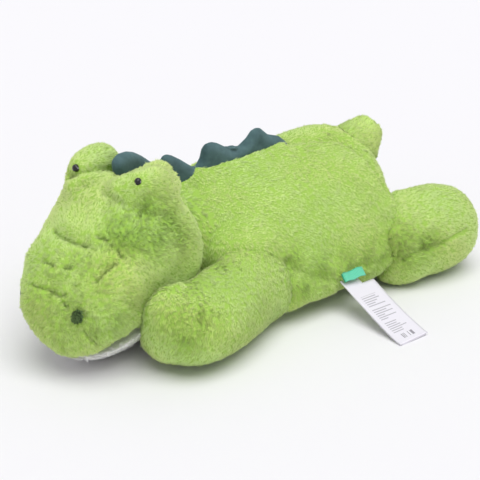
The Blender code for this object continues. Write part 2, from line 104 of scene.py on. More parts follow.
def new_material(name):
    """A material with its node tree and the shader in it."""
    material = bpy.data.materials.new(name)
    material.use_nodes = True
    tree = material.node_tree
    return material, tree, tree.nodes["Principled BSDF"]


def set_sockets(shader, **values):
    """Sets the sockets whose value is the same all over the piece."""
    for key, value in values.items():
        shader.inputs[key.replace("_", " ")].default_value = value


FLOOR_SIDE = 12.0
FLOOR_COLOUR = "#efeef0"
WALL_COLOUR = "#fbfbff"
BACKDROP_COLOUR = "#f8f7fa"
bpy.ops.mesh.primitive_plane_add(size=FLOOR_SIDE, location=(0, 0, 0))
floor = bpy.context.object
floor.name = "studio_table"
material, tree, shader = new_material("matt_table")
set_sockets(shader, Base_Color=linear(FLOOR_COLOUR), Roughness=0.9, Specular_IOR_Level=0.0)
floor.data.materials.append(material)

world = bpy.data.worlds.new("studio")
world.use_nodes = True
tree = world.node_tree
background = tree.nodes["Background"]
background.inputs["Color"].default_value = linear(WALL_COLOUR)
background.inputs["Strength"].default_value = 0.50
backdrop = add_node(tree, "ShaderNodeBackground", Color=linear(BACKDROP_COLOUR), Strength=1.0)
rays = add_node(tree, "ShaderNodeLightPath")
seen = add_node(tree, "ShaderNodeMath", {"operation": "MAXIMUM"},
                i0=rays.outputs["Is Camera Ray"], i1=rays.outputs["Is Glossy Ray"])
mix = add_node(tree, "ShaderNodeMixShader", i0=seen.outputs[0],
               i1=background.outputs[0], i2=backdrop.outputs[0])
tree.links.new(mix.outputs[0], tree.nodes["World Output"].inputs["Surface"])
bpy.context.scene.world = world

LAMP_WAY = Vector((0.32, -0.04, 1.0))
LAMP_SPREAD = math.radians(50)
lamp_data = bpy.data.lights.new("soft_lamp", "SUN")
lamp_data.energy = 2.1
lamp_data.angle = LAMP_SPREAD
lamp = bpy.data.objects.new("soft_lamp", lamp_data)
lamp.rotation_euler = LAMP_WAY.to_track_quat("Z", "Y").to_euler()
bpy.context.scene.collection.objects.link(lamp)

# A window, low behind the toy on its left, shows only in what is glossy: it gives each eye its spark.
WINDOW_WAY = Vector((0.681, 0.588, 0.419))
WINDOW_DISTANCE = 3.0
window_data = bpy.data.lights.new("window_light", "AREA")
window_data.shape = "DISK"
window_data.size = 2.2
window_data.energy = 110.0
window = bpy.data.objects.new("window_light", window_data)
window.location = CAMERA_AIM + WINDOW_WAY * WINDOW_DISTANCE
window.rotation_euler = WINDOW_WAY.to_track_quat("Z", "Y").to_euler()
window.visible_diffuse = False
bpy.context.scene.collection.objects.link(window)

# The body is a stuffed cover of green fur fabric. It is cut and sewn from a few panels, turned and filled,
# and it lies with its belly flattened on the table.
FUR_NET = 0.004
PILE_DEPTH = 0.0036
FLATTENED_PILE = 0.15
TABLE_CLEARANCE = 0.0002
TUFT_CLEARANCE = 0.0003
LYING_HEIGHT = 0.003
FILL_FRAMES = 16


def places(piece):
    """The places of the piece's points, a row for each."""
    found = np.empty(len(piece.data.vertices) * 3)
    piece.data.vertices.foreach_get("co", found)
    return found.reshape(-1, 3)


def outwards(piece):
    """The normals of the piece's points, a row for each."""
    found = np.empty(len(piece.data.vertices) * 3)
    piece.data.vertex_normals.foreach_get("vector", found)
    return found.reshape(-1, 3)


def put(piece, points):
    """Moves the piece's points, with none of them through the table."""
    points = np.array(points)
    points[:, 2] = np.maximum(points[:, 2], TABLE_CLEARANCE)
    piece.data.vertices.foreach_set("co", points.ravel())
    piece.data.update()


def pick(piece):
    """Selects the piece alone."""
    bpy.ops.object.select_all(action="DESELECT")
    piece.select_set(True)
    bpy.context.view_layer.objects.active = piece


def finish_with(piece, kind, **settings):
    """Adds a modifier to the piece and applies it."""
    pick(piece)
    modifier = piece.modifiers.new(kind.lower(), kind)
    for key, value in settings.items():
        setattr(modifier, key, value)
    bpy.ops.object.modifier_apply(modifier=modifier.name)


def made_of(name, shape):
    """An object made of a finished shape."""
    mesh = bpy.data.meshes.new(name)
    shape.to_mesh(mesh)
    shape.free()
    made = bpy.data.objects.new(name, mesh)
    bpy.context.scene.collection.objects.link(made)
    return made


def sewn_cover(name, nodes, net=FUR_NET, softening=6, tight=False, under_pile=PILE_DEPTH, more=()):
    """The cover of a stuffed part: its solid, closed into an even net of faces, with its sewn edges eased.
    The solid reaches to the tips of the pile, so the fabric lies a little inside it, but less on the table,
    where the pile is flattened. A tight cover bridges the hollows of its solid."""
    shape = bmesh.new()
    for node in nodes:
        shape.from_mesh(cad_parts[node].data)
    for place in more:
        shape.verts.new(place)
    bmesh.ops.remove_doubles(shape, verts=shape.verts, dist=0.00001)
    if tight:
        hull = bmesh.ops.convex_hull(shape, input=shape.verts)
        kept = {face for face in hull["geom"] if isinstance(face, bmesh.types.BMFace)}
        bmesh.ops.delete(shape, geom=[face for face in shape.faces if face not in kept], context="FACES")
    cover = made_of(name, shape)
    finish_with(cover, "REMESH", mode="VOXEL", voxel_size=net, use_smooth_shade=True)
    finish_with(cover, "SMOOTH", factor=0.5, iterations=softening)
    points = places(cover)
    standing = np.clip((points[:, 2] - 0.002) / 0.012, FLATTENED_PILE, 1)
    put(cover, points - outwards(cover) * (under_pile * standing)[:, None])
    return cover


def stuff(cover, swell, pressure=4.0):
    """Fills the cover: it swells between the places where it is held, by no more than swell."""
    before = places(cover)
    held = cover.vertex_groups.new(name="held")
    on_table = np.nonzero(before[:, 2] < LYING_HEIGHT)[0]
    held.add(on_table.tolist(), 1.0, "REPLACE")
    cloth = cover.modifiers.new("filling", "CLOTH")
    cloth.settings.vertex_group_mass = held.name
    cloth.settings.use_pressure = True
    cloth.settings.uniform_pressure_force = pressure
    cloth.settings.effector_weights.gravity = 0
    cloth.settings.quality = 4
    cloth.point_cache.frame_start = 1
    cloth.point_cache.frame_end = FILL_FRAMES
    for number in range(1, FILL_FRAMES + 1):
        bpy.context.scene.frame_set(number)
    filled = cover.evaluated_get(bpy.context.evaluated_depsgraph_get())
    after = places(filled)
    cover.modifiers.remove(cloth)
    cover.vertex_groups.remove(held)
    bpy.context.scene.frame_set(1)
    move = after - before
    far = np.linalg.norm(move, axis=1, keepdims=True)
    put(cover, before + move * np.minimum(1, swell / np.maximum(far, 1e-9)))


def distance_to(points, line):
    """How far each point is from a line of points."""
    nearest = np.full(len(points), np.inf)
    line = np.array(line, float)
    for start, end in zip(line[:-1], line[1:]):
        run = end - start
        share = np.clip((points - start) @ run / max(run @ run, 1e-12), 0, 1)
        nearest = np.minimum(nearest, np.linalg.norm(points - start - share[:, None] * run, axis=1))
    return nearest


# The seams of each cover, where the pile is short and painted darker, a painted shade in the crease.
SEAMS = {}


def press(cover, line, width, depth, seam=False):
    """Draws the cover in along a seam or crease. A depth below zero makes it fuller. The pile is short
    on a seam, and painted darker there, a painted shade in its crease."""
    points = places(cover)
    if seam:
        SEAMS.setdefault(cover.name, []).append(line)
    share = np.exp(-(distance_to(points, line) / width) ** 2)
    put(cover, points - outwards(cover) * (depth * share)[:, None])


def draw_out(cover, line, width, way):
    """Draws a part of the cover one way, as a fuller filling does."""
    share = np.exp(-(distance_to(places(cover), line) / width) ** 2)
    put(cover, places(cover) + np.outer(share, way))


def ease(cover, line, width, rounds):
    """Lets the cover out along a line, so that a sharp fold there becomes a round one."""
    group = cover.vertex_groups.new(name="eased")
    share = np.exp(-(distance_to(places(cover), line) / width) ** 2)
    for number in np.nonzero(share > 0.02)[0].tolist():
        group.add([number], float(share[number]), "REPLACE")
    finish_with(cover, "SMOOTH", factor=0.5, iterations=rounds, vertex_group=group.name)
    cover.vertex_groups.clear()


def seen_at(cover, *pixels):
    """Where the sight lines through these places of the frame meet the cover."""
    found = []
    for across, down in pixels:
        hit, place, _, _ = cover.ray_cast(CAMERA_FROM, sight(across, down))
        if hit:
            found.append(tuple(place))
    return found


def drift(points, size, seed):
    """A smooth wandering value from about -1 to 1, whose waves are about size long."""
    draw = np.random.default_rng(seed)
    value = np.zeros(len(points))
    waves = 9
    for _ in range(waves):
        way = draw.normal(size=3)
        way /= np.linalg.norm(way)
        pitch = size * draw.uniform(0.7, 1.5)
        value += np.sin(points @ way * math.tau / pitch + draw.uniform(0, math.tau))
    return value / math.sqrt(waves)


def unit(rows):
    """Each row at length 1."""
    return rows / np.maximum(np.linalg.norm(rows, axis=1, keepdims=True), 1e-9)


# Plush fabric, a knitted polyester backing with a dense cut pile: no gloss, a pale sheen at grazing angles,
# and soft patches where the pile was brushed. Its roots are painted darker, a painted shade between the
# fibres, and its tips paler, a painted sheen.
def plush(name, root, tip, pale):
    """Pile fibre, painted dark at the root and pale at the tip. Its attribute holds the place along the tuft,
    the clump's brightness and its hue.
    """
    material, tree, shader = new_material(name)
    shade = add_node(tree, "ShaderNodeAttribute", {"attribute_name": "shade"})
    parts = add_node(tree, "ShaderNodeSeparateColor", Color=shade.outputs["Color"])
    ramp = add_node(tree, "ShaderNodeValToRGB", Fac=parts.outputs["Red"])
    ramp.color_ramp.elements[0].color = linear(root)
    ramp.color_ramp.elements[1].color = linear(pale)
    middle = ramp.color_ramp.elements.new(0.55)
    middle.color = linear(tip)
    # The clump's brightness: random tone, with painted shade and painted light in it.
    bright = add_node(tree, "ShaderNodeMapRange", Value=parts.outputs["Green"], To_Min=0.60, To_Max=1.17)
    warm = add_node(tree, "ShaderNodeMapRange", Value=parts.outputs["Blue"], To_Min=0.488, To_Max=0.512)
    tone = add_node(tree, "ShaderNodeHueSaturation", Hue=warm.outputs[0], Value=bright.outputs[0],
                    Color=ramp.outputs["Color"])
    tree.links.new(tone.outputs[0], shader.inputs["Base Color"])
    set_sockets(shader, Roughness=0.85, Specular_IOR_Level=0.15, Sheen_Weight=0.6, Sheen_Roughness=0.4,
                Sheen_Tint=linear(pale))
    return material


KNIT_GRAIN = 260.0


def backing(name, colour, deep):
    """The knitted fabric under the pile, which shows only between the tufts. Its grain is about 4 mm,
    coarser than real loops, so that it shows."""
    material, tree, shader = new_material(name)
    where = add_node(tree, "ShaderNodeTexCoord")
    noise = add_node(tree, "ShaderNodeTexNoise", Vector=where.outputs["Object"], Scale=KNIT_GRAIN, Detail=3.0)
    # The grain's hollows take the deep colour and its tops the lighter one, a painted shade that follows its
    # bump.
    mix = add_node(tree, "ShaderNodeMix", {"data_type": "RGBA"}, i0=noise.outputs[0],
                   i6=linear(deep), i7=linear(colour))
    bump = add_node(tree, "ShaderNodeBump", Height=noise.outputs[0], Strength=0.4, Distance=0.0008)
    tree.links.new(mix.outputs[2], shader.inputs["Base Color"])
    tree.links.new(bump.outputs[0], shader.inputs["Normal"])
    set_sockets(shader, Roughness=0.95, Specular_IOR_Level=0.1)
    return material


GREEN_PILE = plush("green_plush_pile", "#86b53f", "#c5e576", "#e2f1ae")
GREEN_BACKING = backing("green_plush_backing", "#abd060", "#9ac150")
CLUMP_GAP = 0.0030
CLUMP_SPREAD = 0.0026
TUFTS_IN_CLUMP = 7
MOST_TUFTS = 49500
PILE_LENGTH = 0.0056
TUFT_HALF_WIDTH = 0.0007
ROOT_DEPTH = 0.0007
SEAM_REACH = 0.0030
BURIED_DEPTH = 0.009
SHARE_UNDERNEATH = 0.12
SMOOTH_RUFFLE = 0.3
REST_RISE = 0.189


def buried(tree, place):
    """Whether a place lies inside a closed shape, more than the pile's depth down."""
    for way in (Vector((0.10, 0.20, 1.0)), Vector((0.90, -0.30, 0.12))):
        hit, facing, _, _ = tree.ray_cast(place, way)
        if hit is None or facing.dot(way) < 0:
            return False
    return tree.find_nearest(place)[3] > BURIED_DEPTH


def scattered(cover, draw, gap, kept):
    """Places spread evenly over the cover, one for each clump, with the cover's normal at each.
    Few are spent on the underside, where the toy lies on it."""
    mesh = cover.data
    mesh.calc_loop_triangles()
    corners = np.empty(len(mesh.loop_triangles) * 3, np.int32)
    mesh.loop_triangles.foreach_get("vertices", corners)
    corners = corners.reshape(-1, 3)
    points = places(cover)
    normals = outwards(cover)
    first, second, third = (points[corners[:, k]] for k in range(3))
    area = np.linalg.norm(np.cross(second - first, third - first), axis=1) / 2
    middle = (first + second + third) / 3
    facing = normals[corners].mean(1)
    underneath = (middle[:, 2] < 0.004) & (facing[:, 2] < -0.6)
    area *= np.where(underneath, SHARE_UNDERNEATH, 1.0)
    if kept is not None:
        area *= kept(middle)
    total = np.cumsum(area)
    count = int(total[-1] / gap ** 2)
    chosen = np.searchsorted(total, (np.arange(count) + draw.random(count)) / count * total[-1])
    chosen = np.minimum(chosen, len(total) - 1)
    a, b = draw.random((2, count))
    over = a + b > 1
    a[over], b[over] = 1 - a[over], 1 - b[over]
    weights = np.stack([1 - a - b, a, b], 1)[:, :, None]
    place = (points[corners[chosen]] * weights).sum(1)
    normal = unit((normals[corners[chosen]] * weights).sum(1))
    return place, normal


def combed(place, normal, nap, rough, seed):
    """The way the pile lies at each place: along the nap, and astray where it is ruffled."""
    way = nap(place)
    way = way + 0.18 * np.stack([drift(place, 0.050, seed + k) for k in range(3)], 1)
    stray = np.stack([drift(place, 0.008, seed + 3 + k) for k in range(3)], 1)
    way = way + (0.06 + 0.8 * rough)[:, None] * stray
    way = way - normal * (way * normal).sum(1, keepdims=True)
    return unit(way)


def tuft_mesh(name, corners, normals, shades, material):
    """One mesh of tufts, each a thin spike of four faces, with an even map of its own."""
    points = np.stack(corners, 1).reshape(-1, 3)
    points[:, 2] = np.maximum(points[:, 2], TUFT_CLEARANCE)
    first = np.arange(len(shades))[:, None, None] * 4
    faces = (first + np.array([[0, 1, 3], [1, 2, 3], [2, 0, 3], [0, 2, 1]])[None]).reshape(-1, 3)
    mesh = bpy.data.meshes.new(name)
    mesh.vertices.add(len(points))
    mesh.vertices.foreach_set("co", points.ravel())
    mesh.loops.add(len(faces) * 3)
    mesh.loops.foreach_set("vertex_index", faces.ravel().astype(np.int32))
    mesh.polygons.add(len(faces))
    mesh.polygons.foreach_set("loop_start", np.arange(len(faces), dtype=np.int32) * 3)
    mesh.update(calc_edges=True)
    mesh.attributes.new("shade", "FLOAT_COLOR", "POINT").data.foreach_set("color", shades.ravel())
    across = math.ceil(math.sqrt(len(faces)))
    number = np.arange(len(faces))
    corner = np.stack([number % across, number // across], 1)[:, None, :]
    cell = corner + np.array([[0.12, 0.12], [0.88, 0.12], [0.12, 0.88]])[None]
    mesh.uv_layers.new(name="OFBake").uv.foreach_set("vector", (cell / across).astype(np.float32).ravel())
    mesh.polygons.foreach_set("use_smooth", np.ones(len(faces), bool))
    mesh.normals_split_custom_set_from_vertices(np.stack(normals, 1).reshape(-1, 3))
    mesh.materials.append(material)
    made = bpy.data.objects.new(name, mesh)
    bpy.context.scene.collection.objects.link(made)
    return made


def grow_pile(name, cover, material, nap, seed, near=(), kept=None, short=None, length=PILE_LENGTH,
              gap=CLUMP_GAP, spread=CLUMP_SPREAD, ruffled=None, bright=0.0):
    """The cut pile of one panel: small pointed tufts in clumps, rooted in the cover and laid along the nap.
    Where it is ruffled the tufts stand up and part in clumps, so it is speckled, and it is painted darker, a
    painted shade between the clumps."""
    draw = np.random.default_rng(seed)
    place, normal = scattered(cover, draw, gap, kept)
    for other in near:
        tree = BVHTree.FromObject(other, bpy.context.evaluated_depsgraph_get())
        out = np.array([not buried(tree, point) for point in place.tolist()])
        place, normal = place[out], normal[out]
    count = len(place)
    rough = np.full(count, SMOOTH_RUFFLE) if ruffled is None else np.clip(ruffled(place), 0, 1)
    way = combed(place, normal, nap, rough, seed)
    rise = REST_RISE + 0.45 * rough + (0.06 + 0.04 * rough) * drift(place, 0.010, seed + 7)
    rise = rise + draw.normal(0, 0.08 + 0.14 * rough)
    rise = np.clip(rise, 0.15, 1.2)[:, None]
    size = length * (1 + 0.16 * drift(place, 0.02, seed + 8) + draw.normal(0, 0.1, count))
    apart = np.full(count, np.inf)
    for line in SEAMS.get(cover.name, []):
        apart = np.minimum(apart, distance_to(place, line))
    in_seam = np.exp(-(apart / SEAM_REACH) ** 2)
    if short is not None:
        size = size * short(place)
    size = np.maximum(size * (0.85 + 0.25 * rough) * (1 - 0.6 * in_seam), length * 0.25)[:, None]
    stem = way * np.cos(rise) + normal * np.sin(rise)
    clump_tip = place + stem * size * 1.05
    # The clump's brightness: random patches and speckle, and painted shade, darker where the pile is ruffled
    # and in a seam's crease; bright paints a panel lighter, a painted light.
    patches = (0.02 + 0.05 * rough) * drift(place, 0.02, seed + 9) + 0.05 * drift(place, 0.08, seed + 11)
    speckle = draw.normal(0, 0.02 + 0.36 * rough)
    clump_shade = 0.80 + bright - 0.52 * rough + patches + speckle - 0.8 * in_seam
    clump_hue = 0.5 + 0.3 * drift(place, 0.09, seed + 10) + draw.normal(0, 0.10, count)

    many = np.repeat(np.arange(count), TUFTS_IN_CLUMP)
    if len(many) > MOST_TUFTS:
        many = many[np.sort(draw.permutation(len(many))[:MOST_TUFTS])]
    tufts = len(many)
    way, normal, rough = way[many], normal[many], rough[many]
    side = np.cross(normal, way)
    turn = draw.uniform(0, math.tau, tufts)
    out = spread * np.sqrt(draw.random(tufts))
    root = place[many] + (way * np.cos(turn)[:, None] + side * np.sin(turn)[:, None]) * out[:, None]
    reach = size[many] * draw.uniform(0.72, 1.18, tufts)[:, None]
    straight = root + unit(stem[many] + draw.normal(0, 0.13, (tufts, 3))) * reach
    gather = (draw.uniform(0.0, 0.25, tufts) + 0.5 * rough)[:, None]
    tip = straight + (clump_tip[many] - straight) * gather
    root = root - normal * ROOT_DEPTH
    half = TUFT_HALF_WIDTH * draw.uniform(0.75, 1.25, tufts) * (1.3 - 0.45 * rough)
    spin = draw.uniform(0, math.tau, tufts)
    corners = []
    normals = []
    for k in range(3):
        angle = spin + k * math.tau / 3
        arm = way * np.cos(angle)[:, None] + side * np.sin(angle)[:, None]
        corners.append(root + arm * half[:, None])
        normals.append(unit(normal + (0.06 + 0.25 * rough)[:, None] * arm))
    corners.append(tip)
    normals.append(unit(normal + (0.08 + 0.35 * rough)[:, None] * unit(tip - root)))

    # Roots are painted darker than tips, and more so where ruffled: a painted shade down between the fibres.
    at_root = 0.62 * (1 - rough)
    at_tip = 0.86 + draw.uniform(-0.13, 0.13, tufts) * (0.5 + rough)
    shades = np.ones((tufts, 4, 4))
    shades[:, :3, 0] = at_root[:, None]
    shades[:, 3, 0] = at_tip * (1 - 0.25 * rough)
    own_shade = draw.normal(0, 0.06, tufts) * (0.4 + rough)
    shades[:, :, 1] = np.clip(clump_shade[many] + own_shade, 0, 1)[:, None]
    shades[:, :, 2] = np.clip(clump_hue[many] + draw.normal(0, 0.1, tufts), 0, 1)[:, None]
    return tuft_mesh(name, corners, normals, shades, material)


def laid(*way):
    """A nap that lies one way."""
    return lambda points: np.tile(np.array(way, float), (len(points), 1))


def follow(piece, body, bend=None):
    """The piece follows a body. A piece given a bend, a soft limb or the tail, keeps its place instead, baked
    into its mesh, and is not bent.
    """
    if bend:
        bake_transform(piece)
    else:
        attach(piece, body)


def dress(cover, body, nodes, material=GREEN_BACKING, bend=None):
    """Gives a cover its fabric, hands it on to follow, and hides the solids that it stands for."""
    cover.data.materials.clear()
    cover.data.materials.append(material)
    follow(cover, body, bend)
    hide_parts(*nodes)


def both_sides(cover, line, width, depth, seam=False):
    """The same seam or crease on the body's two sides."""
    press(cover, line, width, depth, seam)
    press(cover, [(-x, y, z) for x, y, z in line], width, depth, seam)


torso = sewn_cover("torso_cover", ["torso"], net=0.0042)
stuff(torso, 0.004)
RUMP_SEAM = ((345, 143), (360, 153), (372, 167), (380, 181), (388, 198), (393, 214))
BELLY_SEAM = ((285, 264), (298, 270), (312, 276), (328, 279), (341, 281))
ABOVE_BELLY_SEAM = ((300, 262), (330, 268), (345, 268))
BELOW_BELLY_SEAM = ((290, 293), (310, 291), (330, 287))
BEFORE_REAR_LEG = ((388, 205), (391, 217), (392, 230), (391, 243), (386, 256))
BACK_SEAM = ((285, 146), (297, 141.5), (310, 139.5), (325, 139), (345, 141))
FLANK_FOLD = ((388, 256), (376, 263), (364, 266), (352, 268))
SHOULDER = ((225, 252), (245, 250), (262, 240))
BESIDE_SPIKES = ((180, 185), (205, 176), (230, 168.5), (257, 160), (281, 150))
RUMP = ((331, 128), (339, 126), (347, 128))
both_sides(torso, seen_at(torso, *RUMP_SEAM), 0.0045, 0.0035, True)
both_sides(torso, seen_at(torso, *BELLY_SEAM), 0.0100, 0.0040)
both_sides(torso, seen_at(torso, *ABOVE_BELLY_SEAM), 0.010, -0.003)
both_sides(torso, seen_at(torso, *BELOW_BELLY_SEAM), 0.022, -0.010)
both_sides(torso, seen_at(torso, *BEFORE_REAR_LEG), 0.018, -0.009)
press(torso, seen_at(torso, *BACK_SEAM), 0.006, 0.005, True)
press(torso, seen_at(torso, *FLANK_FOLD), 0.007, 0.004)
both_sides(torso, seen_at(torso, *SHOULDER), 0.022, -0.006)
both_sides(torso, seen_at(torso, *BESIDE_SPIKES), 0.015, -0.0095)
press(torso, seen_at(torso, *RUMP), 0.018, -0.005)
points = places(torso)
undulation = 0.0012 * drift(points, 0.07, 3) + 0.0006 * drift(points, 0.03, 4)
put(torso, points + outwards(torso) * (undulation * np.clip(points[:, 2] / 0.03, 0, 1))[:, None])

# The head is the largest stuffed part: a round skull with full cheeks, and a broad blunt muzzle in front.
# The two eye mounds are darts of the same panel. Stitches pull short grooves across the top of the muzzle.
NECK_Y = -0.170
HEAD_YAW = math.radians(31.0)
AHEAD = np.array([math.sin(HEAD_YAW), -math.cos(HEAD_YAW), 0])
TO_LEFT = np.array([math.cos(HEAD_YAW), math.sin(HEAD_YAW), 0])


def on_head(left, ahead, up):
    """A place on the head, in millimetres to its left, ahead of the neck and above the table."""
    return np.array([0, NECK_Y, 0]) + (TO_LEFT * left + AHEAD * ahead + np.array([0, 0, up])) / 1000


def mirrored(line):
    """The same line on the other side of the head."""
    middle = np.array([0, NECK_Y, 0])
    return [tuple(np.array(p) - 2 * ((np.array(p) - middle) @ TO_LEFT) * TO_LEFT) for p in line]


head = sewn_cover("head_cover", ["head", "eye_mound_left", "eye_mound_right"], net=0.0038)
MOUND_BASE = ((126, 178), (127, 192), (140, 203), (157, 207), (172, 204), (184, 194), (190, 182))
base = seen_at(head, *MOUND_BASE)
ease(head, base, 0.018, 60)
ease(head, mirrored(base), 0.012, 20)
press(head, base[1:], 0.017, -0.008)
# Each row is a line in the frame, its width and its depth: first the skull and the mounds, before filling.
for pixels, width, depth in (
    # The near mound's top and its ridge are drawn in.
    (((166, 161), (172, 164), (178, 171)), 0.016, 0.008),
    (((140, 167), (147, 161), (155, 159), (163, 160)), 0.017, 0.007),
    # The brow between the mounds is fuller.
    (((82, 188), (98, 184), (112, 182), (124, 185)), 0.022, -0.009),
    # The outline below the far mound is drawn in, and the mound is fuller above its foot.
    (((52, 204), (49, 214)), 0.014, 0.007),
    (((70, 187), (66, 193)), 0.016, -0.006),
    (((67, 174), (69, 178)), 0.009, 0.005),
    (((75, 153), (80, 149)), 0.012, -0.004),
    # The near mound's shoulder is drawn in, and the hollow beside the mound is filled.
    (((171, 164), (177, 170), (181, 178)), 0.012, 0.007),
    (((112, 186), (115, 191)), 0.012, -0.004),
):
    press(head, seen_at(head, *pixels), width, depth)
stuff(head, 0.003)
finish_with(head, "SUBSURF", levels=1, render_levels=1)
for pixels, width, depth in (
    # The muzzle is fuller along its far outline, and so is the cheek.
    (((62, 342), (45, 330), (36, 315), (34, 300), (38, 280), (48, 262)), 0.032, -0.009),
    (((43, 238), (37, 246), (32, 256)), 0.016, -0.006),
    (((150, 225), (160, 240), (165, 250)), 0.030, -0.005),
    # The front limb lies against the cheek and pushes it in.
    (((145, 308), (156, 294), (170, 284), (182, 275)), 0.026, 0.010),
):
    press(head, seen_at(head, *pixels), width, depth)
MUZZLE_EDGE = ((92, 246), (106, 246), (118, 253), (128, 262), (143, 275), (150, 284))
edge = seen_at(head, *MUZZLE_EDGE)
press(head, edge, 0.011, 0.0025)
press(head, mirrored(edge), 0.011, 0.0025)
for pixels, width, depth in (
    # The fold across the top of the muzzle.
    (((50, 226), (54, 232), (68, 240), (86, 247)), 0.010, 0.0025),
    # The brow under the far mound, and the sharp crease between the two.
    (((72, 183), (84, 178), (98, 175), (110, 175)), 0.009, -0.003),
    (((69, 176.5), (76, 174), (86, 171), (98, 169), (109, 168.5), (116, 170)), 0.0055, 0.0065),
):
    press(head, seen_at(head, *pixels), width, depth)
GROOVES = (
    ((54, 232), (60, 238), (68, 241), (77, 245), (87, 247)),
    ((44, 262), (48, 264), (53, 266)),
    ((65, 269), (70, 268)),
    ((32, 285), (42, 289), (52, 292), (58, 297), (64, 295)),
    ((96, 283), (104, 274), (112, 267), (116, 264)),
    ((117, 251), (121, 257)),
    ((97, 237), (105, 240)),
    ((61, 302), (66, 307)),
    ((83, 331), (89, 338), (95, 343)),
)
GROOVE_WIDTH = 0.0030
GROOVE_DEPTH = 0.0042
# Each groove is a seam: its pile is short and painted darker, a painted shade.
for groove in GROOVES:
    press(head, seen_at(head, *groove), GROOVE_WIDTH, GROOVE_DEPTH, True)
MOUTH_CORNER = ((135, 331), (125, 339), (112, 346))
press(head, seen_at(head, *MOUTH_CORNER), 0.012, 0.006)
WRINKLES = (
    ((85, 188), (79, 200), (73, 216)),
    ((99, 192), (91, 206), (84, 219)),
    ((113, 200), (104, 214), (97, 230)),
)
for wrinkle in WRINKLES:
    press(head, seen_at(head, *wrinkle), 0.006, 0.0016)
solid_nostril, seen_nostril = (np.array(place) for place in seen_at(head, (80.6, 315.4), (77.4, 316.1)))
NOSTRIL_MOVES = {
    "left": seen_nostril - solid_nostril,
    "right": TO_LEFT * -0.0080 + AHEAD * -0.0085,
}
nostrils = {}
for side, width, depth in (("left", 0.012, 0.0035), ("right", 0.007, 0.0020)):
    low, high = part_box(f"nostril_{side}")
    nostrils[side] = np.array((low + high) / 2) + NOSTRIL_MOVES[side]
    press(head, [nostrils[side], nostrils[side]], width, depth)
FAR_OUTLINE = ((26, 280), (25, 290), (25, 300))
press(head, seen_at(head, *FAR_OUTLINE), 0.014, -0.003)
beads = {}
for side in ("left", "right"):
    low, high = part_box(f"eye_bead_{side}")
    beads[side] = np.array((low + high) / 2)
    press(head, [beads[side], beads[side]], 0.013, -0.0022)

# Each limb is a stuffed cover, closed at its root and sewn to the body. The tail is a short stuffed cone.
limbs = {}
for name in ("front_leg_left", "front_leg_right", "rear_leg_left", "rear_leg_right"):
    limbs[name] = sewn_cover(f"{name}_cover", [name], net=0.005, tight=name == "front_leg_left")
    stuff(limbs[name], 0.004)
    finish_with(limbs[name], "SUBSURF", levels=1, render_levels=1)

rear_left = limbs["rear_leg_left"]
for pixels, width, depth, sewn in (
    # The near rear limb is fuller along its lower edge, at its root and on top.
    (((388, 279), (398, 277), (412, 274)), 0.020, -0.009, False),
    (((393, 226), (394, 237), (393, 248)), 0.013, -0.006, False),
    (((399, 190), (413, 187)), 0.016, -0.003, False),
    # Its lower seam, which ends at the tip of the foot.
    (((444, 241), (454, 236), (466, 229)), 0.004, 0.003, True),
):
    press(rear_left, seen_at(rear_left, *pixels), width, depth, sewn)
front_left = limbs["front_leg_left"]
PAW_UNDERSIDE = ((148, 332), (149, 342), (157, 352))
PAW_TOP = ((164, 322), (168, 316), (172, 311), (176, 307))
press(front_left, seen_at(front_left, *PAW_UNDERSIDE), 0.022, -0.008)
draw_out(front_left, seen_at(front_left, *PAW_TOP), 0.034, (-0.0040, -0.0188, 0.0230))
finish_with(front_left, "SMOOTH", factor=0.5, iterations=14)
LEG_FOLD = ((392, 261), (402, 258), (411, 254), (421, 250), (432, 247), (443, 243))
press(rear_left, seen_at(rear_left, *LEG_FOLD), 0.0060, 0.0060, True)
TAIL_ROOT = Vector((0, 0.150, 0.184))
TAIL_SKIRT = 0.041
SKIRT_POINTS = 24
skirt = []
for number in range(SKIRT_POINTS):
    angle = math.tau * number / SKIRT_POINTS
    way = Vector((math.cos(angle), -0.72 * math.sin(angle), 0.69 * math.sin(angle)))
    skirt.append(TAIL_ROOT + way * TAIL_SKIRT)
tail = sewn_cover("tail_cover", ["tail"], net=0.004, tight=True, more=skirt)
stuff(tail, 0.002)
TAIL_TOP = ((375, 121), (378, 127))
press(tail, seen_at(tail, *TAIL_TOP), 0.008, -0.003)
chin = sewn_cover("chin_cover", ["chin_panel"], net=0.003, under_pile=0.0025)


def meet(cover, others, reach, swell):
    """Lets a cover swell towards those that it is sewn to, so that no gap shows at the seam."""
    points = places(cover)
    for other in others:
        tree = BVHTree.FromObject(other, bpy.context.evaluated_depsgraph_get())
        apart = np.array([tree.find_nearest(point)[3] for point in places(cover).tolist()])
        points = points + outwards(cover) * (swell * np.exp(-(apart / reach) ** 2))[:, None]
    put(cover, points)


for name in limbs:
    meet(limbs[name], [torso], 0.022, 0.009 if name.startswith("front") else 0.006)
meet(torso, [limbs["front_leg_left"], limbs["front_leg_right"]], 0.024, 0.011)
meet(torso, [limbs["rear_leg_left"], limbs["rear_leg_right"]], 0.016, 0.002)
meet(chin, [head], 0.010, 0.003)
LIMB_SEAM = ((287, 262), (289.5, 275), (290, 288), (288.5, 300))
press(torso, seen_at(torso, *LIMB_SEAM), 0.007, 0.006, True)

# The neck is the part of the cover between the body and the head. It twists from the way the body faces to
# the way the head faces.
def ring(shape, middle, facing, half_width, half_height, sides=32):
    """A ring of points round the neck, upright and square to the way that the neck faces there."""
    across = facing.cross(Vector((0, 0, 1))).normalized()
    made = []
    for number in range(sides):
        angle = math.tau * number / sides
        made.append(shape.verts.new(middle + across * half_width * math.cos(angle)
                                    + Vector((0, 0, half_height * math.sin(angle)))))
    return made


def straight_ahead(share):
    """The way the neck faces: with the body at 0, with the head at 1."""
    return Vector((math.sin(HEAD_YAW * share), -math.cos(HEAD_YAW * share), 0))


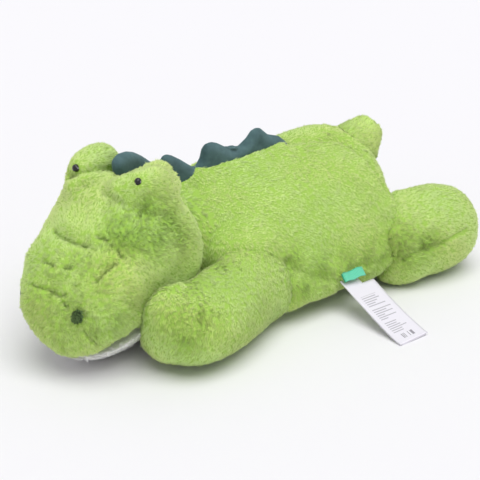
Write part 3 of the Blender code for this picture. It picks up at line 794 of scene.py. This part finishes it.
shape = bmesh.new()
rings = [
    ring(shape, Vector((0, -0.085, 0.097)), straight_ahead(0), 0.094, 0.084),
    ring(shape, Vector((0, -0.135, 0.098)), straight_ahead(0.2), 0.089, 0.083),
    ring(shape, Vector((0, NECK_Y, 0.098)), straight_ahead(0.5), 0.084, 0.082),
    ring(shape, Vector(on_head(0, 30, 98)), straight_ahead(0.8), 0.080, 0.081),
    ring(shape, Vector(on_head(0, 65, 98)), straight_ahead(1), 0.076, 0.078),
]
for one, two in zip(rings[:-1], rings[1:]):
    for k in range(len(one)):
        shape.faces.new((one[k], one[k - 1], two[k - 1], two[k]))
shape.faces.new(rings[0][::-1])
shape.faces.new(rings[-1])
bmesh.ops.recalc_face_normals(shape, faces=shape.faces)
neck = made_of("neck_cover", shape)
finish_with(neck, "REMESH", mode="VOXEL", voxel_size=0.005, use_smooth_shade=True)
finish_with(neck, "SMOOTH", factor=0.5, iterations=8)

# The pile is combed after all the parts are sewn together, from the nose to the tail and down the sides.
dress(torso, "torso", ["torso"])
dress(head, "head", ["head", "eye_mound_left", "eye_mound_right"])
BODY_NAP = laid(0, 0.45, -0.8)
HEAD_NAP = laid(-0.40, 0.65, -0.55)
FRONT_LEG_NAP = laid(0.1, -0.5, -0.8)
REAR_LEG_NAP = laid(0.1, 0.8, -0.5)
TAIL_NAP = laid(0, 0.8, -0.1)
LIMB_GAP = 0.0036
NECK_GAP = 0.0054


def panel(name, cover, body, nap, seed, bend=None, **choices):
    """The green pile of one panel, placed by follow as the panel is."""
    pile = grow_pile(name, cover, GREEN_PILE, nap, seed, **choices)
    follow(pile, body, bend)


def ruffled_near(cover, spread, most, *pixels):
    """Ruffled pile round some places of the frame."""
    found = np.array(seen_at(cover, *pixels))

    def share(points):
        apart = np.linalg.norm(points[:, None] - found[None], axis=2).min(1)
        patchy = 1 + 0.25 * drift(points, 0.03, 60)
        return 0.10 + most * patchy * np.exp(-(apart / spread) ** 2)
    return share


# The nostrils and the eyes are bare, and the pile is short round them. Each has its place and its radius.
BARE_SPOTS = [
    (nostrils["left"], 0.0078),
    (nostrils["right"], 0.0058),
    (beads["left"], 0.0050),
    (beads["right"], 0.0050),
]


def clear(points):
    """No pile in the bare spots."""
    open_share = np.ones(len(points))
    for spot, radius in BARE_SPOTS:
        open_share *= np.linalg.norm(points - spot, axis=1) > radius
    return open_share


def short(points):
    """A short pile round the bare spots."""
    factor = np.ones(len(points))
    for spot, radius in BARE_SPOTS:
        apart = np.linalg.norm(points - spot, axis=1)
        factor = np.minimum(factor, np.clip(apart / (2.2 * radius), 0.3, 1))
    return factor


CHEEK = ((120, 235), (140, 240), (160, 240), (155, 210), (165, 220), (180, 235))
MUZZLE = ((60, 275), (80, 270), (100, 265), (45, 300), (75, 300),
          (100, 300), (125, 300), (120, 320), (60, 330), (90, 330))
LOWER_FLANK = ((300, 285), (320, 270), (345, 262), (370, 258), (385, 250), (290, 262))
PAW = ((173, 324), (188, 320), (204, 324), (186, 336))
REAR_LEG_ROOT = ((400, 240), (410, 245), (405, 255), (425, 245))
# Where the pile is ruffled it is also painted darker, a painted shade among its parted clumps.
cheek_ruffled = ruffled_near(head, 0.028, 0.75, *CHEEK)
muzzle_ruffled = ruffled_near(head, 0.040, 0.34, *MUZZLE)
torso_ruffled = ruffled_near(torso, 0.028, 0.55, *LOWER_FLANK)
limb_ruffled = {
    "front_leg_left": ruffled_near(front_left, 0.026, 0.6, *PAW),
    "rear_leg_left": ruffled_near(rear_left, 0.024, 0.75, *REAR_LEG_ROOT),
}


def head_ruffled(points):
    """Ruffled pile on the cheek and on the muzzle."""
    return np.maximum(cheek_ruffled(points), muzzle_ruffled(points))


neighbours = [limbs["rear_leg_left"], limbs["rear_leg_right"], tail, head, neck]
SIDES = (("left", 1), ("right", -1))
for side, sign in SIDES:
    panel(f"torso_pile_{side}", torso, "torso", BODY_NAP, 12, near=neighbours, ruffled=torso_ruffled,
          kept=lambda p, sign=sign: p[:, 0] * sign > 0)
for side, sign in SIDES:
    panel(f"head_pile_{side}", head, "head", HEAD_NAP, 13, near=[chin, neck], short=short,
          ruffled=head_ruffled,
          kept=lambda p, sign=sign: ((p - on_head(0, 0, 0)) @ TO_LEFT * sign > 0) * clear(p))

# The length of a limb's bend, from its seam on. Each has the place of its seam and the way that it runs.
BEND_LENGTH = 0.068
LIMB_WAYS = {
    "front_leg_left": ((0.138, -0.046, 0.06), (-0.19, -0.98, 0)),
    "front_leg_right": ((-0.138, -0.046, 0.06), (0.19, -0.98, 0)),
    "rear_leg_left": ((0.086, 0.150, 0.138), (0, 1, 0)),
    "rear_leg_right": ((-0.092, 0.153, 0.138), (-0.643, 0.766, 0)),
}
for number, name in enumerate(limbs):
    root, way = (Vector(value) for value in LIMB_WAYS[name])
    bend = (root, root + way * BEND_LENGTH)
    dress(limbs[name], name, [name], bend=bend)
    nap = FRONT_LEG_NAP if name.startswith("front") else REAR_LEG_NAP
    # The near front limb's pile is painted lighter, a painted light against the shade of the cheek and body.
    bright = 0.06 if name == "front_leg_left" else 0
    panel(f"{name}_pile", limbs[name], name, nap, 20 + number, bend, near=[torso], gap=LIMB_GAP,
          ruffled=limb_ruffled.get(name), bright=bright)
tail_bend = (TAIL_ROOT, TAIL_ROOT + Vector((0, 0.040, 0)))
dress(tail, "tail", ["tail"], bend=tail_bend)
panel("tail_pile", tail, "tail", TAIL_NAP, 30, tail_bend, near=[torso])
neck_pile = grow_pile("neck_pile", neck, GREEN_PILE, BODY_NAP, 31, near=[torso, head], gap=NECK_GAP)
neck.data.materials.append(GREEN_BACKING)
for piece in (neck, neck_pile):
    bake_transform(piece)

# The chin is a panel of white plush with a shorter pile, sewn under the muzzle.
WHITE_PILE = plush("white_plush_pile", "#efeee9", "#fbfaf7", "#ffffff")
WHITE_BACKING = backing("white_plush_backing", "#f6f5f0", "#e9e8e2")
dress(chin, "head", ["chin_panel"], WHITE_BACKING)
chin_pile = grow_pile("chin_pile", chin, WHITE_PILE, HEAD_NAP, 40, near=[head], length=0.004, gap=0.0056)
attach(chin_pile, "head")

# The nostrils are ovals of dark green plush, let into the muzzle and drawn in.
DARK_PILE = plush("dark_plush_pile", "#2a381d", "#52683a", "#7b9160")
DARK_BACKING = backing("dark_plush_backing", "#2c3a22", "#1f2a18")
for side in nostrils:
    oval = sewn_cover(f"nostril_{side}_oval", [f"nostril_{side}"], net=0.0010, softening=3, under_pile=0.001)
    put(oval, places(oval) + NOSTRIL_MOVES[side])
    dress(oval, "head", [f"nostril_{side}"], DARK_BACKING)
    tufts = grow_pile(f"nostril_{side}_pile", oval, DARK_PILE, HEAD_NAP, 50, length=0.0032, gap=0.0016,
                      spread=0.0012)
    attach(tufts, "head")

# The spikes are triangles of velour, two layers sewn round the edge and stuffed, in one strip on the spine.
# Their nap is too short to see as hairs: it shows as a soft sheen and as darker and lighter strokes.
def on_plane(across, down, point, normal):
    """Where the sight line through a place of the frame meets a plane."""
    way = sight(across, down)
    return CAMERA_FROM + way * ((Vector(point) - CAMERA_FROM).dot(normal) / way.dot(normal))


# Cut velour: strokes about 22 mm long where the nap was brushed, and a grain of 1 mm, coarser than the nap.
BRUSHED_STROKES = 45.0
VELOUR_GRAIN = 900.0
VELOUR, tree, shader = new_material("cut_velour")
where = add_node(tree, "ShaderNodeTexCoord")
strokes = add_node(tree, "ShaderNodeTexNoise", Vector=where.outputs["Object"], Scale=BRUSHED_STROKES,
                   Detail=4.0, Roughness=0.6)
grain = add_node(tree, "ShaderNodeTexNoise", Vector=where.outputs["Object"], Scale=VELOUR_GRAIN, Detail=2.0)
tone = add_node(tree, "ShaderNodeValToRGB", Fac=strokes.outputs[0])
tone.color_ramp.elements[0].position = 0.3
tone.color_ramp.elements[0].color = linear("#3c5557")
tone.color_ramp.elements[1].position = 0.7
tone.color_ramp.elements[1].color = linear("#567375")
nap = add_node(tree, "ShaderNodeBump", Height=grain.outputs[0], Strength=0.35, Distance=0.0006)
tree.links.new(tone.outputs[0], shader.inputs["Base Color"])
tree.links.new(nap.outputs[0], shader.inputs["Normal"])
set_sockets(shader, Roughness=0.8, Specular_IOR_Level=0.2, Sheen_Weight=0.45, Sheen_Roughness=0.35,
            Sheen_Tint=linear("#a9c6c8"))
STRIP_THICKNESS = 0.021
STRIP_SHOULDER = 0.012
FLAT_THICKNESS = 0.006
STRIP_NET = 0.0017


def velour_strip(name, edge, base, point, normal, body, nodes):
    """Two layers of velour, sewn along the edge and stuffed between it and the base."""
    normal = Vector(normal)
    top = [on_plane(*pixel, point, normal) for pixel in edge]
    root = [on_plane(*pixel, point, normal) for pixel in base]
    shape = bmesh.new()
    shape.faces.new([shape.verts.new(place) for place in top + root[::-1]])
    bmesh.ops.triangulate(shape, faces=shape.faces[:])
    strip = made_of(name, shape)
    finish_with(strip, "SOLIDIFY", thickness=FLAT_THICKNESS, offset=0)
    finish_with(strip, "REMESH", mode="VOXEL", voxel_size=STRIP_NET, use_smooth_shade=True)
    found = places(strip)
    across = (found - np.array(point)) @ np.array(normal)
    flat = found - across[:, None] * np.array(normal)
    inside = np.clip(distance_to(flat, top) / STRIP_SHOULDER, 0, 1)
    half = STRIP_THICKNESS / 2 * np.sqrt(1 - (1 - inside) ** 2)
    layer = np.clip(across / (FLAT_THICKNESS / 2), -1, 1)
    put(strip, flat + np.array(normal) * (layer * half)[:, None])
    finish_with(strip, "SMOOTH", factor=0.5, iterations=3)
    strip.data.materials.append(VELOUR)
    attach(strip, body)
    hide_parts(*nodes)


BODY_EDGE = (
    (159.5, 176), (159.5, 168), (160.7, 160.7), (162.9, 156.4), (167, 154.3), (171.4, 155.3),
    (180, 159.3), (187, 163.6), (192, 166.4), (194.3, 166.9), (197, 164.3), (200, 158.6),
    (202, 149.5), (205.7, 144.3), (211.7, 142), (216.7, 142.8), (223.3, 145.8), (230, 149.2),
    (234, 149.7), (240, 145), (246.7, 138.3), (251.7, 130.8), (256.7, 127.8), (260, 128),
    (263.3, 130.8), (267.5, 134.2), (273.3, 135), (278.3, 135.8), (281.7, 138.3), (285.5, 141.5),
)
BODY_BASE = (
    (159.5, 190), (190, 182), (200, 178), (223, 169), (240, 163), (257, 158), (273, 151), (287, 146),
)
velour_strip("body_spikes", BODY_EDGE, BODY_BASE, (0, 0, 0), (1, 0, 0), "torso",
             ["spike_2", "spike_3", "spike_4", "spike_5"])
HEAD_EDGE = (
    (116.4, 176), (115, 168), (115, 162.9), (117, 157.9), (120.7, 153.5), (127, 151.3),
    (132.9, 151.9), (140, 155), (148.6, 160.7), (157, 167), (163, 174),
)
HEAD_BASE = ((118, 186), (131, 182), (150, 180), (164, 178))
velour_strip("head_spike", HEAD_EDGE, HEAD_BASE, on_head(0, 0, 0), TO_LEFT, "head", ["spike_1"])

# The safety eyes are glossy black buttons of moulded polystyrene, so each has a small sharp spark of light.
# Each is pushed through the fabric and locked inside by a washer of natural polypropylene, which is milky.
BLACK, tree, shader = new_material("black_polystyrene")
where = add_node(tree, "ShaderNodeTexCoord")
specks = add_node(tree, "ShaderNodeTexNoise", Vector=where.outputs["Object"], Scale=700.0, Detail=2.0)
gloss = add_node(tree, "ShaderNodeMapRange", Value=specks.outputs[0], To_Min=0.06, To_Max=0.14)
tree.links.new(gloss.outputs[0], shader.inputs["Roughness"])
set_sockets(shader, Base_Color=linear("#050506"), Specular_IOR_Level=0.5)
WASHER, tree, shader = new_material("natural_polypropylene")
where = add_node(tree, "ShaderNodeTexCoord")
cloud = add_node(tree, "ShaderNodeTexNoise", Vector=where.outputs["Object"], Scale=300.0)
tone = add_node(tree, "ShaderNodeMix", {"data_type": "RGBA"}, i0=cloud.outputs[0], i6=linear("#dcdcd8"),
                i7=linear("#efefec"))
tree.links.new(tone.outputs[2], shader.inputs["Base Color"])
set_sockets(shader, Roughness=0.4)
for side in beads:
    for node, finish in ((f"eye_bead_{side}", BLACK), (f"eye_washer_{side}", WASHER)):
        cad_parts[node].data.materials.clear()
        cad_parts[node].data.materials.append(finish)

# The tab is a folded length of woven polyester ribbon, and the care label is two leaves of white satin.
# Both are caught in the side seam. The label's print is plain grey rules.
# The ribbon's ribs are about 2 mm apart, coarser than a real weave, so that they show.
RIBBON_RIBS = 160.0
RIBBON, tree, shader = new_material("woven_ribbon")
where = add_node(tree, "ShaderNodeTexCoord")
ribs = add_node(tree, "ShaderNodeTexWave", {"bands_direction": "Y"}, Vector=where.outputs["Object"],
                Scale=RIBBON_RIBS, Distortion=0.6)
# The troughs of the ribs are painted darker and their crests lighter, a painted shade that follows their
# bump.
tone = add_node(tree, "ShaderNodeMix", {"data_type": "RGBA"}, i0=ribs.outputs[0], i6=linear("#35b48c"),
                i7=linear("#5fd3ae"))
rib_bump = add_node(tree, "ShaderNodeBump", Height=ribs.outputs[0], Strength=0.5, Distance=0.0004)
tree.links.new(tone.outputs[2], shader.inputs["Base Color"])
tree.links.new(rib_bump.outputs[0], shader.inputs["Normal"])
set_sockets(shader, Roughness=0.55, Sheen_Weight=0.2)

SATIN, tree, shader = new_material("printed_satin")
print_map = add_node(tree, "ShaderNodeUVMap", {"uv_map": "print"})
parts = add_node(tree, "ShaderNodeSeparateXYZ", Vector=print_map.outputs[0])
ACROSS_LABEL = parts.outputs[0]
DOWN_LABEL = parts.outputs[1]


def maths(operation, first, second=0.5, third=None):
    """One step of arithmetic between sockets or numbers."""
    node = add_node(tree, "ShaderNodeMath", {"operation": operation}, i0=first, i1=second)
    if third is not None:
        node.inputs[2].default_value = third
    return node.outputs[0]


def between(inked, value, least, most):
    """The ink, kept only where the value lies between two limits."""
    inked = maths("MULTIPLY", inked, maths("GREATER_THAN", value, least))
    return maths("MULTIPLY", inked, maths("LESS_THAN", value, most))


def chance_of(value):
    """A chance value for each whole number."""
    return add_node(tree, "ShaderNodeTexWhiteNoise", {"noise_dimensions": "1D"}, W=value).outputs["Value"]


# Rules of uneven length in groups, with a gap after each seventh, and a few bars of uneven width below them.
RULES = 34.0
BARS = 48.0
INK = 0.55
BAR_INK = 1.4
along = maths("MULTIPLY", DOWN_LABEL, RULES)
row = maths("FLOOR", along)
rule_end = maths("MULTIPLY_ADD", chance_of(row), 0.42, 0.42)
inked = maths("MULTIPLY", maths("GREATER_THAN", maths("FRACT", along), 0.60),
              maths("LESS_THAN", ACROSS_LABEL, rule_end))
inked = maths("MULTIPLY", inked, maths("GREATER_THAN", ACROSS_LABEL, 0.16))
inked = between(inked, DOWN_LABEL, 0.26, 0.84)
group = maths("FRACT", maths("MULTIPLY", row, 0.1429))
inked = maths("MULTIPLY", inked, maths("GREATER_THAN", group, 0.10))
bars = maths("GREATER_THAN", chance_of(maths("FLOOR", maths("MULTIPLY", ACROSS_LABEL, BARS))), 0.45)
bars = between(bars, ACROSS_LABEL, 0.30, 0.72)
bars = between(bars, DOWN_LABEL, 0.865, 0.935)
inked = maths("MAXIMUM", inked, maths("MULTIPLY", bars, BAR_INK))
tone = add_node(tree, "ShaderNodeMix", {"data_type": "RGBA"}, i0=maths("MULTIPLY", inked, INK),
                i6=linear("#e5e2ea"), i7=linear("#66636b"))
tree.links.new(tone.outputs[2], shader.inputs["Base Color"])
set_sockets(shader, Roughness=0.45, Sheen_Weight=0.1)

SEAM_POINT = Vector((0.1329, 0.062, 0.047))
LABEL_TURN = math.radians(8)
LABEL_SIZE = (0.051, 0.127)
LEAF_ROWS = 32
LEAF_COLUMNS = 12
SATIN_THICKNESS = 0.0004


def sheet_of(name, rows, thickness, finish):
    """A thin sheet through rows of points, with its own map for the print."""
    shape = bmesh.new()
    layer = shape.loops.layers.uv.new("print")
    grid = [[None if p is None else shape.verts.new(p) for p in row] for row in rows]
    for j in range(len(grid) - 1):
        for i in range(len(grid[0]) - 1):
            square = (grid[j][i], grid[j][i + 1], grid[j + 1][i + 1], grid[j + 1][i])
            if None in square:
                continue
            face = shape.faces.new(square)
            face.smooth = True
            for loop, (a, b) in zip(face.loops, ((i, j), (i + 1, j), (i + 1, j + 1), (i, j + 1))):
                loop[layer].uv = (a / (len(grid[0]) - 1), b / (len(grid) - 1))
    made = made_of(name, shape)
    finish_with(made, "SOLIDIFY", thickness=thickness, offset=0)
    made.data.materials.append(finish)
    return made


def leaf(name, node, lift, first, width_share, step):
    """One leaf of the label, from the seam down to the table. It is narrower up to the step."""
    out = Vector((math.cos(LABEL_TURN), math.sin(LABEL_TURN), 0))
    side = Vector((-math.sin(LABEL_TURN), math.cos(LABEL_TURN), 0))
    seam = Vector((SEAM_POINT.x, SEAM_POINT.y, 0))
    rows = []
    for j in range(LEAF_ROWS + 1):
        share = first + (1 - first) * j / LEAF_ROWS
        height = SEAM_POINT.z * (1 - share) ** 1.2 + lift * (0.3 + share)
        line = []
        for i in range(LEAF_COLUMNS + 1):
            across = (i / LEAF_COLUMNS - 0.5) * LABEL_SIZE[0] * width_share
            across -= LABEL_SIZE[0] * (1 - width_share) / 2
            curl = 0.0008 * math.sin(5 * share + 3 * i / LEAF_COLUMNS)
            keep = share > step or i <= 7
            point = seam + out * LABEL_SIZE[1] * share * 0.965 + side * across
            line.append(Vector((point.x, point.y, max(height + curl * share, 0.0006))) if keep else None)
        rows.append(line)
    made = sheet_of(name, rows, SATIN_THICKNESS, SATIN)
    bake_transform(made)
    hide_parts(node)


leaf("label_front_leaf", "care_label_front", lift=0.0022, first=0.02, width_share=1.0, step=0.10)
leaf("label_back_leaf", "care_label_back", lift=0.0008, first=0.0, width_share=0.94, step=0.12)

low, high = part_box("woven_tab")
TAB_ROOT = Vector((low.x, 0, high.z - 0.007))
TAB_TIP = Vector((high.x + 0.0025, 0, high.z - 0.0145))
TAB_WIDTH = high.y - low.y
TAB_COLUMNS = 12
FOLD_STARTS = 6
FOLD_ENDS = 10
TAB_ROWS = 16
RIBBON_THICKNESS = 0.0005
down = (TAB_TIP - TAB_ROOT).normalized()
away = Vector((down.z, 0, -down.x)) * -1
rows = []
for j in range(TAB_ROWS + 1):
    if j < FOLD_STARTS:
        spot = TAB_ROOT.lerp(TAB_TIP, j / FOLD_STARTS) + away * 0.0010
    elif j > FOLD_ENDS:
        spot = TAB_ROOT.lerp(TAB_TIP, (TAB_ROWS - j) / (TAB_ROWS - FOLD_ENDS)) - away * 0.0006
    else:
        turn = math.pi * (j - FOLD_STARTS) / (FOLD_ENDS - FOLD_STARTS)
        spot = TAB_TIP + away * (0.0002 + 0.0008 * math.cos(turn)) + down * 0.0012 * math.sin(turn)
    line = []
    for i in range(TAB_COLUMNS + 1):
        ripple = 0.0008 * math.sin(i * 0.9)
        line.append(Vector((spot.x, low.y + TAB_WIDTH * i / TAB_COLUMNS, spot.z + 0.0003 * i + ripple)))
    rows.append(line)
tab = sheet_of("ribbon_tab", rows, RIBBON_THICKNESS, RIBBON)
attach(tab, "torso")
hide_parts("woven_tab")
